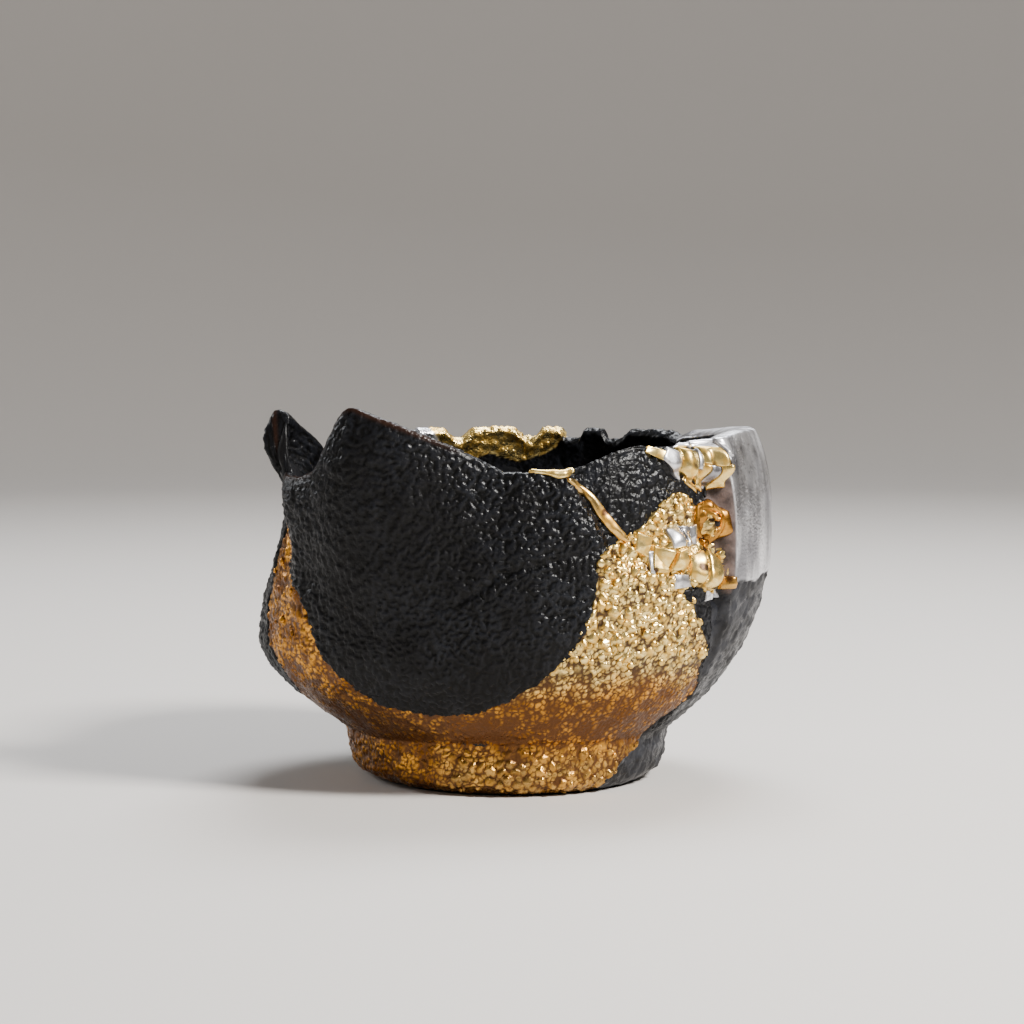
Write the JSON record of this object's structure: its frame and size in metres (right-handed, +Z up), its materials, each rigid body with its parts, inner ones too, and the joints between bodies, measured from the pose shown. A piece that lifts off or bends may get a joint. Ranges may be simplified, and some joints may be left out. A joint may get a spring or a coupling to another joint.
{
  "type": "sake server",
  "caption": "Hand-built pouring bowl for sake with a notched beak, torn rim, deep fissure and low foot, in black stoneware with gold and silver lustre.",
  "frame": {"origin": "middle of the footprint's bounding box, on the surface that the bowl stands on", "axes": "+Z up, +X to the right along the longest side, the beak towards -X and a little towards -Y, the front towards -Y"},
  "size_m": [0.1238, 0.101, 0.0902],
  "materials": {
    "stoneware": "black stoneware with a leathery half-gloss skin, and crumbly gold and smooth silver lustre"
  },
  "bodies": {
    "root": {"server_body": "stoneware"}
  },
  "joints": []
}
